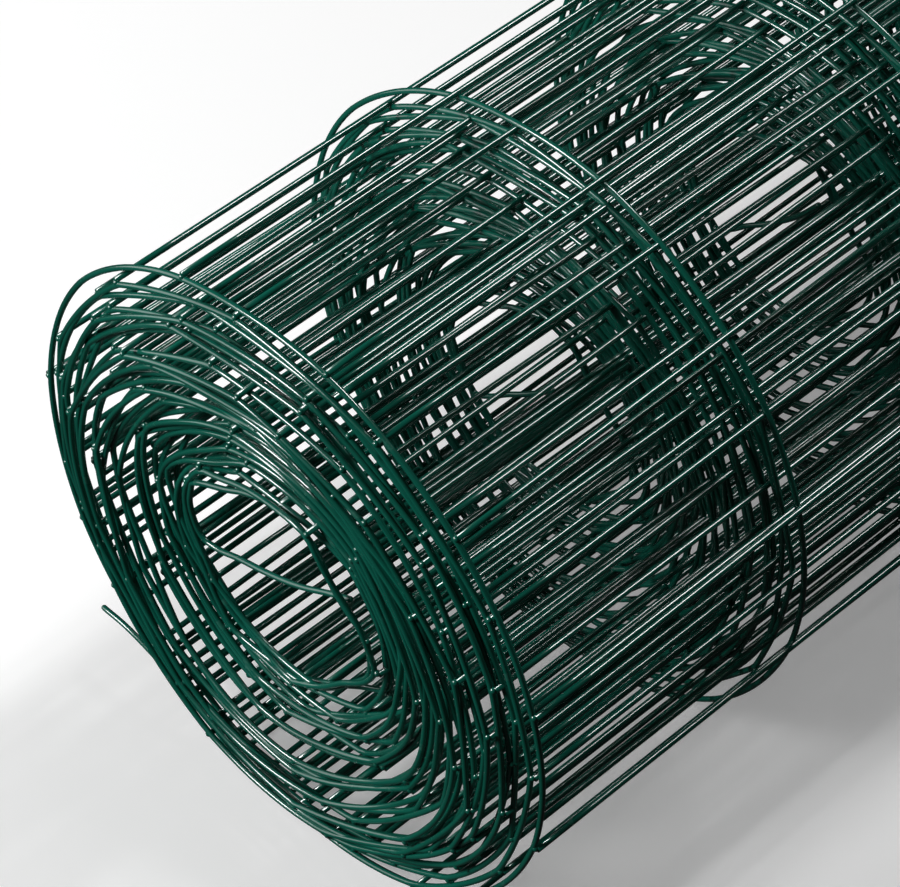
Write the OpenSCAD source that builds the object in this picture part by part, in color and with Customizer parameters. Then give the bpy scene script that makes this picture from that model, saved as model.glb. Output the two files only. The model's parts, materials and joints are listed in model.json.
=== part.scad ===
// Roll of plastic-coated welded wire fencing, lying on its side.
// The roll's axis runs along X, with the front end at -X. The origin is on the ground under its middle.
// The wound mesh is one turned solid: its turns are rounded ridges on both ends, as the edge wires are.

/* [Fence] */
// Height of the fence, between the centres of its two edge wires
fence_height = 610; // [200:10:2000]
// Diameter of a wire over its plastic coat
wire_d = 1.8; // [1.6:0.1:3.2]

/* [Roll] */
// Number of turns that the fence is wound into
turns = 28; // [6:1:48]
// Distance from one turn to the next, along a radius
turn_pitch = 2.4; // [2:0.05:6]
// Diameter of the bore, inside the first turn
bore_d = 66; // [30:1:250]
// How far the innermost turn stands out past the outermost one at the front end
telescope = 8; // [0:0.5:20]

/* [Hidden] */

bore_r = bore_d / 2;
roll_r = bore_r + turns * turn_pitch;
// Each turn starts this much further back than the turn inside it
turn_step = telescope / (turns - 1);
round_fn = 96;

// Radius of the middle of a turn
function turn_r(i) = bore_r + (i + 0.5) * turn_pitch;

// Place along the axis of a turn's front edge wire
function front_edge(i) = -(fence_height + telescope) / 2 + i * turn_step;

// Half section of one turn: the mesh between its edges, with a round edge wire at each end
module turn_section(i) {
    translate([turn_r(i) - turn_pitch / 2, front_edge(i)])
        square([turn_pitch, fence_height]);
    for (edge = [front_edge(i), front_edge(i) + fence_height])
        translate([turn_r(i), edge]) circle(d = wire_d, $fn = round_fn);
}

module fence_roll() {
    color("#125746")
        translate([0, 0, roll_r])
        rotate([0, 90, 0])
        rotate_extrude($fn = round_fn)
        for (i = [0 : turns - 1]) turn_section(i);
}

fence_roll();
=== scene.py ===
"""Looks of a roll of green plastic-coated welded wire fencing, lying on a pale studio floor.

The CAD roll is one plain turned solid. Here the mesh itself stands for it: seven line wires wound into a
spiral, straight stays welded across the outside of them, and a bead of plastic on each weld. Lengths are in
metres and in the CAD model's frame: the roll's axis runs along X, its front end is at -X and the floor is at
Z = 0.
"""
import json
import math

import bpy
import numpy as np
from mathutils import Matrix, Vector


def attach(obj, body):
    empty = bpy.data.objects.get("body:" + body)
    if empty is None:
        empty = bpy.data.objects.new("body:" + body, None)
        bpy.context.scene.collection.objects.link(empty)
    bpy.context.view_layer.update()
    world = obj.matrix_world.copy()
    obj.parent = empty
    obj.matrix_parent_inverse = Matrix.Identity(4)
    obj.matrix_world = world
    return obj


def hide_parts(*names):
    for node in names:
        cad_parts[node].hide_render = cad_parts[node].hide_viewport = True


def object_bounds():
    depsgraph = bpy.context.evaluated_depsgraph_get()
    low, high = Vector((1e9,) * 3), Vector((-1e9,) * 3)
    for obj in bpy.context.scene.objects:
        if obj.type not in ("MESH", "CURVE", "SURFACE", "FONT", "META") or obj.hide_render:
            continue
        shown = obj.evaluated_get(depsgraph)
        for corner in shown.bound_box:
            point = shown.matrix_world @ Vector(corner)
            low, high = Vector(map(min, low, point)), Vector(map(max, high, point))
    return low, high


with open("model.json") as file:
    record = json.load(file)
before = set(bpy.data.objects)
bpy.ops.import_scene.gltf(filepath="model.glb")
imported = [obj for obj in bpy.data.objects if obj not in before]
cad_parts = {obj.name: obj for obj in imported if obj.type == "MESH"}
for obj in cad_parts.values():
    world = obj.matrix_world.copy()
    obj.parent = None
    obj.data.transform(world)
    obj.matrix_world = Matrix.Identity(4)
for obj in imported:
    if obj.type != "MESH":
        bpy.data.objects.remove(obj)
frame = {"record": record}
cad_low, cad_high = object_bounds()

# ---------------------------------------------------------------- sizes

MM = 0.001
TURN = 2 * math.pi
bore = next(mount for mount in frame["record"]["mounts"] if mount["name"] == "bore")
BORE_R = bore["dims"]["r_mm"] * MM
FENCE_HEIGHT = bore["dims"]["length_mm"] * MM
ROLL_R = (cad_high.z - cad_low.z) / 2
AXIS_Z = (cad_high.z + cad_low.z) / 2
WIRE_R = 0.9 * MM
# How far the turns of the roll have slipped past each other along its axis
SLIP = (cad_high.x - cad_low.x) - FENCE_HEIGHT - 2 * WIRE_R

TURNS = 28
LINE_WIRES = 7
LINE_SPACING = FENCE_HEIGHT / (LINE_WIRES - 1)
STAY_SPACING = LINE_SPACING / 2
# The stays of the outermost turn lie this share further apart than the rest
LAST_TURN_STRETCH = 0.06
# Each stay leans by its own small amount: its ends are moved this far along the sheet, give or take
SKEW_JITTER = 0.8 * MM
# A stay's centre lies this far outside the line wires' centres: the weld sinks the two into each other
STAY_LIFT = 1.35 * MM
# Where a stay's full section stops, measured outward from the edge wire's centre, before its round end
TIP = -0.3 * MM
TIP_SPREAD = 0.3 * MM
BEAD_R = 1.05 * MM

# Angles round the roll start at the side that faces -Y and rise through the top. The fence is wound so that
# the angle falls from its inner end to its outer end. A turn angle t starts at 0 at the inner end.
INNER_END = math.radians(160)
OUTER_END = math.radians(-106)
TURN_TOTAL = TURN * (TURNS - 1) + INNER_END - OUTER_END
FIRST_R = BORE_R + WIRE_R
LAST_R = ROLL_R - WIRE_R
# The outermost turn has lost the stay at this angle, at the far side of its top
LOST_STAY_ANGLE = math.radians(143)

# Humps, as (height in mm, angle round the roll in degrees, half width in degrees). They stand outward at the
# bore, outward in the loose outermost turn, and forward in the turns that stand out at the front.
BORE_HUMPS = ((8, 168, 45), (-3, 40, 38), (2, -18, 25))
LOOSE_HUMPS = ((3.0, -52, 48), (1.5, 140, 45))
FRONT_HUMPS = ((3.0, -95, 70),)
# Apart from its humps, the innermost turn is this much tighter than the CAD bore
BORE_TIGHTER = 1 * MM
# The sheet is loose from this many turns before its outer end
LOOSE_TURNS = 1.25
# A turn's depth runs from 0 at the bore to 1 at the outside. The turns at FRONT_DEPTH stand out furthest at
# the front, and those more than FRONT_REACH away from it don't stand out.
FRONT_DEPTH, FRONT_REACH = 0.60, 0.5
# The turns that don't stand out are set back by this share of the slip
BACKSET = 0.4
# From the depth LEVEL_FROM on, and over LEVEL_WITHIN, the turns lose LEVEL_SHARE of their unevenness
LEVEL_FROM, LEVEL_WITHIN, LEVEL_SHARE = 0.8, 0.15, 0.75
# Between two welds a line wire goes this share of the way from the spiral to a straight line
SAG_LEAST, SAG_MOST = 0.1, 0.7
# The outermost turn's line wires lose this share of their sag
OUTERMOST_SAG_CUT = 0.8
# Over what distance the turns bend from round to flat near the floor
PRESS_SOFTNESS = 1.0 * MM

# The inner tail's bends, as (radius in mm, angle round the roll in degrees), and its drift along the axis
# from one bend to the next
INNER_TAIL = (
    (37.0, 171), (33.5, 187), (27.0, 191), (18.0, 188),
    (6.5, 176), (8.0, 40), (21.5, 33), (30.0, 31))
INNER_TAIL_DRIFT = 0.4 * MM
# The outer tail's bends, as (distance in mm outside the outermost turn, angle round the roll in degrees)
OUTER_TAIL = ((0.3, -114), (1.5, -123), (8.5, -132), (16.4, -136.5))
# The tails behind the front ones differ from them by up to this much, in degrees or as a share of the length
INNER_TAIL_SWING = 25
INNER_TAIL_CUT = 0.45
OUTER_TAIL_SPREAD = 3

# How finely the wires are drawn
LINE_SIDES = 10
STAY_SIDES = 10
LINE_STEP = 3.5 * MM
STAY_PARTS = 5
INNER_TAIL_PARTS = 6
OUTER_TAIL_PARTS = 5
CURVE_STEPS = 20000
# The rings that round off a wire's end, from its tip on, and how far its tip lies past the first of them
CAP_ANGLES = np.radians([80, 55, 28])
POLE_LIFT = 0.02 * WIRE_R
BEAD_SIDES, BEAD_RINGS = 8, 5

rng = np.random.default_rng(11)


# ---------------------------------------------------------------- curves

def through(a, b, c, d, f):
    """The smooth curve through four points in a row, at the share f of the way from b to c."""
    return b + f * (c - a + f * (2 * a - 5 * b + 4 * c - d + f * (3 * (b - c) + d - a))) / 2


def smooth(points, parts):
    """A smooth curve through all the points, with each gap cut into so many parts."""
    ghost = np.concatenate([[2 * points[0] - points[1]], points, [2 * points[-1] - points[-2]]])
    f = (np.arange(parts) / parts)[:, None]
    curve = [through(a, b, c, d, f) for a, b, c, d in zip(ghost, ghost[1:], ghost[2:], ghost[3:])]
    return np.concatenate(curve + [points[-1:]])


class Wander:
    """A smooth random curve over the turn angle t, with a fresh value about every spacing."""

    def __init__(self, spacing, size):
        self.spacing = spacing
        self.knots = rng.uniform(-size, size, int(TURN_TOTAL / spacing) + 8)

    def __call__(self, t):
        place = np.clip(np.asarray(t, float) / self.spacing, -1, len(self.knots) - 5) + 2
        k = np.floor(place).astype(int)
        a, b, c, d = (self.knots[k + i] for i in (-1, 0, 1, 2))
        return through(a, b, c, d, place - k)


def bump(angle, centre, width):
    """A smooth hump round the roll, 1 at its centre and 0 past its width. Both are in degrees."""
    off = (np.degrees(angle) - centre + 180) % 360 - 180
    return np.where(np.abs(off) < width, np.cos(np.pi * off / width / 2) ** 2, 0)


def humps(angle, rows):
    """The sum of several bumps, each given as (height in mm, centre, width)."""
    return sum(height * bump(angle, centre, width) for height, centre, width in rows) * MM


def smoothstep(x):
    """Rises smoothly from 0 to 1 while x does."""
    x = np.clip(x, 0, 1)
    return x * x * (3 - 2 * x)


# ---------------------------------------------------------------- the wound sheet

# Uneven radius: bunches of turns, small ripples, and turns that are wider at one end than at the other
bunching = Wander(1.1, 1.3 * MM)
ripple = Wander(0.35, 0.45 * MM)
cone = Wander(2.5, 1.2 * MM)
# Uneven place along the axis
slip_wave = Wander(2.6, 3.4 * MM)
slip_ripple = Wander(0.8, 1.2 * MM)
# The lean of the stays, and their uneven steps along the sheet
skew_wave = Wander(5.0, 5.0 * MM)
stay_drift = Wander(5.0, 20.0 * MM)


def roll_angle(t):
    return INNER_END - np.asarray(t, float)


def even_radius(t):
    """Radius of an even spiral at turn angle t."""
    return FIRST_R + (LAST_R - FIRST_R) * (t / TURN_TOTAL)


def sheet_radius(t, x):
    """Radius of the line wires' centres at turn angle t, where x is the place along the axis."""
    t = np.asarray(t, float)
    angle = roll_angle(t)
    # the bore is a lopsided oval, and its shape fades towards the outside
    r = even_radius(t) + (1 - t / TURN_TOTAL) ** 2 * (humps(angle, BORE_HUMPS) - BORE_TIGHTER)
    # the unevenness fades near the two ends of the sheet, apart from the ripples
    inside = smoothstep(t / 3) * smoothstep((TURN_TOTAL - t) / 2)
    r = r + inside * (bunching(t) + cone(t) * x / FENCE_HEIGHT * 2) + ripple(t)
    # the outermost turn hangs loose at its lower right and its upper left
    outermost = smoothstep((t - TURN_TOTAL + LOOSE_TURNS * TURN) / 1.2)
    return r + outermost * humps(angle, LOOSE_HUMPS)


def press_on_floor(r, angle, lift):
    """Presses the outer turns flat where the roll rests, with room for the stays, lift further out."""
    down = np.maximum(-np.sin(angle), 1e-6)
    most = (AXIS_Z - WIRE_R - lift) / down
    gap = (most - r) / PRESS_SOFTNESS
    return np.where(gap > 4, r, most - PRESS_SOFTNESS * np.log1p(np.exp(np.clip(gap, -40, 40))))


def slip(t):
    """How far the sheet has slipped along the axis at turn angle t. Its middle turns stand out in front."""
    t = np.asarray(t, float)
    depth = t / TURN_TOTAL
    middle = np.cos(np.clip((depth - FRONT_DEPTH) / FRONT_REACH, -1, 1) * np.pi / 2) ** 2
    pushed = middle * (SLIP + humps(roll_angle(t), FRONT_HUMPS))
    uneven = 1 - LEVEL_SHARE * smoothstep((depth - LEVEL_FROM) / LEVEL_WITHIN)
    return SLIP * BACKSET - pushed + uneven * (slip_wave(t) + slip_ripple(t))


def at(r, angle, x):
    """Points in the CAD model's frame at radius r, angle round the roll and place x along it."""
    r, angle, x = np.broadcast_arrays(r, angle, x)
    return np.stack([x, -r * np.cos(angle), AXIS_Z + r * np.sin(angle)], -1)


def outward(angle):
    """The direction away from the roll's axis."""
    angle = np.asarray(angle, float)
    return np.stack([0 * angle, -np.cos(angle), np.sin(angle)], -1)


def onward(angle):
    """The direction round the roll in which the angle rises."""
    return outward(angle + math.pi / 2)


# Length along the sheet at each turn angle
fine_t = np.linspace(0, TURN_TOTAL, CURVE_STEPS)
fine_len = np.concatenate([[0], np.cumsum(np.diff(fine_t) * even_radius(fine_t[1:]))])
SHEET_LENGTH = fine_len[-1]

# The stays are welded at equal steps along the sheet, counted from its outer end. Inside the roll they drift
# a little.
STAYS = int(SHEET_LENGTH / STAY_SPACING) + 1
stay_len = SHEET_LENGTH - np.arange(STAYS)[::-1] * STAY_SPACING
stay_t = np.interp(stay_len, fine_len, fine_t)
stay_len = stay_len - LAST_TURN_STRETCH * np.minimum(SHEET_LENGTH - stay_len, TURN * LAST_R)
stay_len = stay_len + stay_drift(stay_t) * smoothstep((TURN_TOTAL - TURN - stay_t) / 6)
stay_t = np.interp(stay_len, fine_len, fine_t)
stay_skew = skew_wave(stay_t) + rng.uniform(-SKEW_JITTER, SKEW_JITTER, STAYS)
lost_stay = int(np.argmin(np.abs(TURN_TOTAL - stay_t - (LOST_STAY_ANGLE - OUTER_END))))

bands = (np.arange(LINE_WIRES) / (LINE_WIRES - 1) - 0.5) * FENCE_HEIGHT


def weld_t(band_x):
    """Turn angles of the welds on one line wire. The stays lean, so these differ from band to band."""
    return stay_t + stay_skew * (band_x / FENCE_HEIGHT * 2) / even_radius(stay_t)


def band_radius(t, band_x, welds, sag):
    """Radius along one line wire, which runs straighter between its welds than a true spiral."""
    r = sheet_radius(t, band_x)
    k = np.clip(np.searchsorted(welds, t, side="right") - 1, 0, len(welds) - 2)
    f = np.clip((t - welds[k]) / (welds[k + 1] - welds[k]), 0, 1)
    full = r * (1 - np.cos((welds[k + 1] - welds[k]) / 2))
    r = r - sag[k] * full * 4 * f * (1 - f)
    return press_on_floor(r, roll_angle(t), STAY_LIFT)


# ---------------------------------------------------------------- mesh making

def closed_tube_faces(rings, sides):
    """Quads of a tube and of the fans that close it. Its points run ring by ring and end with two poles."""
    ring, j = np.meshgrid(np.arange(rings - 1), np.arange(sides), indexing="ij")
    here, onto = ring * sides, (ring + 1) * sides
    n = (j + 1) % sides
    tube = np.stack([here + j, here + n, onto + n, onto + j], -1).reshape(-1, 4)
    j = np.arange(0, sides, 2)
    n = (j + 2) % sides
    pole, last = rings * sides, (rings - 1) * sides
    start = np.stack([np.full(len(j), pole), n, j + 1, j], -1)
    end = np.stack([np.full(len(j), pole + 1), last + j, last + j + 1, last + n], -1)
    return np.concatenate([tube, start, end])


class Wires:
    """Gathers swept wires and beads into one mesh. Each point keeps its run along and round its wire."""

    def __init__(self):
        self.points, self.faces, self.run = [], [], []
        self.count = 0

    def add(self, points, faces, run):
        self.points.append(points)
        self.faces.append(faces + self.count)
        self.run.append(run)
        self.count += len(points)

    def sweep(self, path, reference, sides):
        """A round wire along path, with rounded ends. It never runs along the direction called reference."""
        tangent = np.gradient(path, axis=0)
        tangent /= np.linalg.norm(tangent, axis=1)[:, None]
        steps = np.concatenate([[0], np.cumsum(np.linalg.norm(np.diff(path, axis=0), axis=1))])
        caps = len(CAP_ANGLES)
        reach, narrow = WIRE_R * np.sin(CAP_ANGLES), WIRE_R * np.cos(CAP_ANGLES)
        centre = np.concatenate([
            path[0] - tangent[0] * reach[:, None],
            path,
            path[-1] + tangent[-1] * reach[::-1, None]])
        tangent = np.concatenate([[tangent[0]] * caps, tangent, [tangent[-1]] * caps])
        size = np.concatenate([narrow, np.full(len(path), WIRE_R), narrow[::-1]])
        along = np.concatenate([[steps[0]] * caps, steps, [steps[-1]] * caps])
        one = reference - tangent * (tangent @ reference)[:, None]
        one /= np.linalg.norm(one, axis=1)[:, None]
        two = np.cross(tangent, one)
        turn = np.arange(sides) / sides * TURN
        ring = np.cos(turn)[None, :, None] * one[:, None] + np.sin(turn)[None, :, None] * two[:, None]
        points = (centre[:, None] + size[:, None, None] * ring).reshape(-1, 3)
        poles = [centre[0] - tangent[0] * POLE_LIFT, centre[-1] + tangent[-1] * POLE_LIFT]
        points = np.concatenate([points, poles])
        rings = len(centre)
        number = rng.uniform(0, 1)
        run = np.stack([np.repeat(along, sides), np.tile(turn, rings), np.full(rings * sides, number)], -1)
        run = np.concatenate([run, run[:1], run[-1:]])
        self.add(points, closed_tube_faces(rings, sides), run)

    def bead(self, centre, axes):
        """A blob of plastic. axes are its three half axes as rows."""
        lat = np.linspace(-0.5, 0.5, BEAD_RINGS + 2)[1:-1] * np.pi
        lon = np.arange(BEAD_SIDES) / BEAD_SIDES * TURN
        unit = np.stack([
            np.outer(np.cos(lat), np.cos(lon)),
            np.outer(np.cos(lat), np.sin(lon)),
            np.outer(np.sin(lat), np.ones(BEAD_SIDES))], -1).reshape(-1, 3)
        points = centre + np.concatenate([unit, [[0, 0, -1], [0, 0, 1]]]) @ axes
        run = np.tile([0, 0, rng.uniform(0, 1)], (len(points), 1))
        self.add(points, closed_tube_faces(BEAD_RINGS, BEAD_SIDES), run)

    def finish(self, name, material):
        mesh = bpy.data.meshes.new(name)
        mesh.from_pydata(np.concatenate(self.points).tolist(), [], np.concatenate(self.faces).tolist())
        mesh.shade_smooth()
        run = mesh.attributes.new("run", "FLOAT_VECTOR", "POINT")
        run.data.foreach_set("vector", np.concatenate(self.run).astype(np.float32).ravel())
        mesh.materials.append(material)
        mesh.update()
        piece = bpy.data.objects.new(name, mesh)
        bpy.context.scene.collection.objects.link(piece)
        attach(piece, "root")
        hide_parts("fence_roll")


# ---------------------------------------------------------------- materials

def new_material(name):
    material = bpy.data.materials.new(name)
    material.use_nodes = True
    return material, material.node_tree.nodes["Principled BSDF"]


def coated_wire_material():
    """Glossy dark green PVC drawn over wire: slight streaks along it, a soft orange peel and dull scuffs."""
    material, shader = new_material("coated_wire")
    nodes, links = material.node_tree.nodes, material.node_tree.links
    shader.inputs["IOR"].default_value = 1.55
    shader.inputs["Coat Weight"].default_value = 0.8
    shader.inputs["Coat Roughness"].default_value = 0.06
    run = nodes.new("ShaderNodeAttribute")
    run.attribute_name = "run"
    place = nodes.new("ShaderNodeTexCoord")

    def noise(scale, detail, source, stretch=(1, 1, 1)):
        mapping = nodes.new("ShaderNodeMapping")
        mapping.inputs["Scale"].default_value = stretch
        links.new(source, mapping.inputs["Vector"])
        node = nodes.new("ShaderNodeTexNoise")
        node.inputs["Scale"].default_value = scale
        node.inputs["Detail"].default_value = detail
        links.new(mapping.outputs["Vector"], node.inputs["Vector"])
        return node.outputs["Fac"]

    def ramp(source, low, high, low_value, high_value):
        node = nodes.new("ShaderNodeMapRange")
        node.inputs["From Min"].default_value = low
        node.inputs["From Max"].default_value = high
        node.inputs["To Min"].default_value = low_value
        node.inputs["To Max"].default_value = high_value
        links.new(source, node.inputs["Value"])
        return node.outputs["Result"]

    def mix(factor, first, second):
        node = nodes.new("ShaderNodeMix")
        node.data_type = "RGBA"
        links.new(factor, node.inputs["Factor"])
        for socket, value in ((node.inputs[6], first), (node.inputs[7], second)):
            if isinstance(value, tuple):
                socket.default_value = (*value, 1)
            else:
                links.new(value, socket)
        return node.outputs[2]

    streaks = noise(1, 3, run.outputs["Vector"], (45, 1.6, 30))
    patches = noise(28, 3, place.outputs["Object"])
    scuffs = noise(170, 6, place.outputs["Object"])
    peel = noise(900, 2, place.outputs["Object"])

    deep, bright = (0.0012, 0.062, 0.041), (0.0024, 0.115, 0.077)
    faded, dusty = (0.004, 0.150, 0.105), (0.060, 0.200, 0.155)
    green = mix(ramp(streaks, 0.3, 0.7, 0.2, 0.8), deep, bright)
    green = mix(ramp(patches, 0.4, 0.7, 0.0, 0.35), green, faded)
    green = mix(ramp(scuffs, 0.66, 0.78, 0.0, 0.5), green, dusty)
    links.new(green, shader.inputs["Base Color"])

    rough = nodes.new("ShaderNodeMath")
    rough.operation = "ADD"
    links.new(ramp(patches, 0.3, 0.7, 0.18, 0.26), rough.inputs[0])
    links.new(ramp(scuffs, 0.6, 0.8, 0.0, 0.15), rough.inputs[1])
    links.new(rough.outputs["Value"], shader.inputs["Roughness"])

    relief = nodes.new("ShaderNodeBump")
    relief.inputs["Strength"].default_value = 0.12
    relief.inputs["Distance"].default_value = 0.05 * MM
    links.new(peel, relief.inputs["Height"])
    links.new(relief.outputs["Normal"], shader.inputs["Normal"])
    return material


def floor_material():
    """Pale and dull, with a little light of its own, so that the shadows on it stay pale."""
    material, shader = new_material("studio_floor")
    shader.inputs["Base Color"].default_value = (0.86, 0.86, 0.86, 1)
    shader.inputs["Roughness"].default_value = 0.9
    shader.inputs["Emission Color"].default_value = (1, 1, 1, 1)
    shader.inputs["Emission Strength"].default_value = 0.25
    return material


# ---------------------------------------------------------------- the mesh's wires

def inner_tail(r, angle, x, swing, share):
    """Down the side of the bore, round a bend and straight across it. Only a share of it may be left."""
    bends = [at(r, angle, x)]
    for n, (far, turn) in enumerate(INNER_TAIL, 1):
        bends.append(at(far * MM, math.radians(turn) + swing * min(n / 2, 1), x + n * INNER_TAIL_DRIFT))
    tail = smooth(np.array(bends), INNER_TAIL_PARTS)
    return tail[1:int(len(tail) * share)][::-1]


def outer_tail(r, angle, x, spread):
    """On round the roll, then bent outward and straight."""
    bends = [at(r, angle, x)]
    for out, turn in OUTER_TAIL:
        bends.append(at(LAST_R + out * MM, math.radians(turn + spread), x))
    return smooth(np.array(bends), OUTER_TAIL_PARTS)[1:]


def make_line_wire(number, band_x, material):
    """One line wire with its two tails. The front one's are as listed, and those of the rest differ."""
    front = number == 0
    welds = weld_t(band_x)
    # the wire sags less between the welds of the outermost turn, which is rounder
    rounder = smoothstep((welds - TURN_TOTAL + LOOSE_TURNS * TURN) / 2)
    sag = rng.uniform(SAG_LEAST, SAG_MOST, len(welds)) * (1 - OUTERMOST_SAG_CUT * rounder)
    t = np.interp(np.linspace(0, SHEET_LENGTH, int(SHEET_LENGTH / LINE_STEP)), fine_len, fine_t)
    t = t[(t >= welds[0]) & (t <= welds[-1])]
    r = band_radius(t, band_x, welds, sag)
    angle = roll_angle(t)
    path = at(r, angle, band_x + slip(t))

    swing = 0 if front else math.radians(rng.uniform(-INNER_TAIL_SWING, INNER_TAIL_SWING))
    cut = 0 if front else rng.uniform(0, INNER_TAIL_CUT)
    spread = 0 if front else rng.uniform(-OUTER_TAIL_SPREAD, OUTER_TAIL_SPREAD)
    inner = inner_tail(r[0], angle[0], path[0, 0], swing, 1 - cut)
    outer = outer_tail(r[-1], angle[-1], path[-1, 0], spread)
    whole = np.concatenate([inner, path, outer])
    whole[:, 2] = np.maximum(whole[:, 2], WIRE_R)
    wires = Wires()
    wires.sweep(whole, np.array([1.0, 0, 0]), LINE_SIDES)
    wires.finish(f"line_wire_{number + 1}", material)


def add_stay(k, stays, beads, all_welds):
    """Stay number k, and a bead on each of its welds."""
    knots = []
    for band_x, welds in zip(bands, all_welds):
        t = welds[k]
        angle = float(roll_angle(t))
        r = float(band_radius(np.array([t]), band_x, welds, np.zeros(STAYS))[0])
        x = band_x + float(slip(t))
        knots.append(at(r + STAY_LIFT, angle, x))
        axes = np.array([[1, 0, 0], onward(angle), outward(angle)]) * BEAD_R
        beads.bead(at(r + STAY_LIFT / 2, angle, x), axes)
    knots = np.array(knots)
    first = knots[0] + (knots[0] - knots[1]) / LINE_SPACING * (TIP + rng.uniform(-1, 1) * TIP_SPREAD)
    last = knots[-1] + (knots[-1] - knots[-2]) / LINE_SPACING * (TIP + rng.uniform(-1, 1) * TIP_SPREAD)
    path = np.concatenate([[first], smooth(knots, STAY_PARTS), [last]])
    path[:, 2] = np.maximum(path[:, 2], WIRE_R)
    stays.sweep(path, outward(float(roll_angle(stay_t[k]))), STAY_SIDES)


green_pvc = coated_wire_material()
for band_number, band in enumerate(bands):
    make_line_wire(band_number, band, green_pvc)

stay_wires, weld_beads = Wires(), Wires()
welds_by_band = [weld_t(band) for band in bands]
for stay_number in range(STAYS):
    if stay_number != lost_stay:
        add_stay(stay_number, stay_wires, weld_beads, welds_by_band)
stay_wires.finish("stays", green_pvc)
weld_beads.finish("weld_beads", green_pvc)


# ---------------------------------------------------------------- floor, light, camera

FLOOR_HALF = 9.0
FLOOR_CORNERS = ((-FLOOR_HALF, -FLOOR_HALF, 0), (FLOOR_HALF, -FLOOR_HALF, 0),
                 (FLOOR_HALF, FLOOR_HALF, 0), (-FLOOR_HALF, FLOOR_HALF, 0))
floor_mesh = bpy.data.meshes.new("floor")
floor_mesh.from_pydata(FLOOR_CORNERS, [], [(0, 1, 2, 3)])
floor_mesh.materials.append(floor_material())
floor = bpy.data.objects.new("floor", floor_mesh)
floor.location.z = -0.1 * MM
# the pale floor isn't mirrored in the wires and doesn't brighten their undersides
floor.visible_diffuse = False
floor.visible_glossy = False
bpy.context.scene.collection.objects.link(floor)

world = bpy.data.worlds.new("studio")
world.use_nodes = True
world.node_tree.nodes["Background"].inputs["Color"].default_value = (1, 1, 1, 1)
world.node_tree.nodes["Background"].inputs["Strength"].default_value = 0.015
bpy.context.scene.world = world


def softbox(name, direction, distance, width, height, brightness):
    """A lamp that faces the roll, with its brightness as radiance.

    Its width is level, or nearly along the roll where the lamp hangs overhead.
    """
    lamp = bpy.data.lights.new(name, "AREA")
    lamp.shape = "RECTANGLE"
    lamp.size = width
    lamp.size_y = height
    lamp.energy = brightness * math.pi * width * height
    holder = bpy.data.objects.new(name, lamp)
    way = Vector(direction).normalized()
    holder.location = Vector((0, 0, AXIS_Z)) + way * distance
    overhead = abs(way.z) > 0.7
    across = Vector((0, 1, 0)) if overhead else Vector((0, 0, 1))
    side = across.cross(way).normalized()
    holder.rotation_euler = Matrix((side, way.cross(side), way)).transposed().to_euler()
    holder.visible_camera = False
    bpy.context.scene.collection.objects.link(holder)


softbox("key", (0.47, 0.05, 0.88), 4.0, 0.9, 0.9, 28)
softbox("front", (-0.80, 0.42, 0.43), 1.8, 0.5, 0.5, 28)
softbox("side", (-0.68, 0.72, 0.12), 1.3, 1.2, 0.7, 1.6)

# Seen from above, the roll's axis runs away from the picture plane by this much
CAMERA_TURN = math.radians(44.1)
# The camera looks down by this much
CAMERA_DOWN = math.radians(47.1)
CAMERA_DISTANCE = 1.108
CAMERA_LENS, CAMERA_SENSOR = 161.4, 36
# The camera aims this far right of and above the middle of the front end
AIM_RIGHT, AIM_UP = 44.8 * MM, 38.9 * MM
front_middle = Vector((bands[0] + float(slip(TURN_TOTAL - 3)), 0, AXIS_Z))
right = Vector((math.cos(CAMERA_TURN), -math.sin(CAMERA_TURN), 0))
ahead = Vector((math.sin(CAMERA_TURN), math.cos(CAMERA_TURN), 0))
forward = ahead * math.cos(CAMERA_DOWN) - Vector((0, 0, math.sin(CAMERA_DOWN)))
up = right.cross(forward)
camera_data = bpy.data.cameras.new("camera")
camera_data.sensor_width = CAMERA_SENSOR
camera_data.lens = CAMERA_LENS
camera_data.clip_start, camera_data.clip_end = 0.05, 50
camera = bpy.data.objects.new("camera", camera_data)
camera.location = front_middle + right * AIM_RIGHT + up * AIM_UP - forward * CAMERA_DISTANCE
camera.rotation_euler = Matrix((right, up, -forward)).transposed().to_euler()
bpy.context.scene.collection.objects.link(camera)
bpy.context.scene.camera = camera
bpy.context.scene.view_settings.view_transform = "Standard"
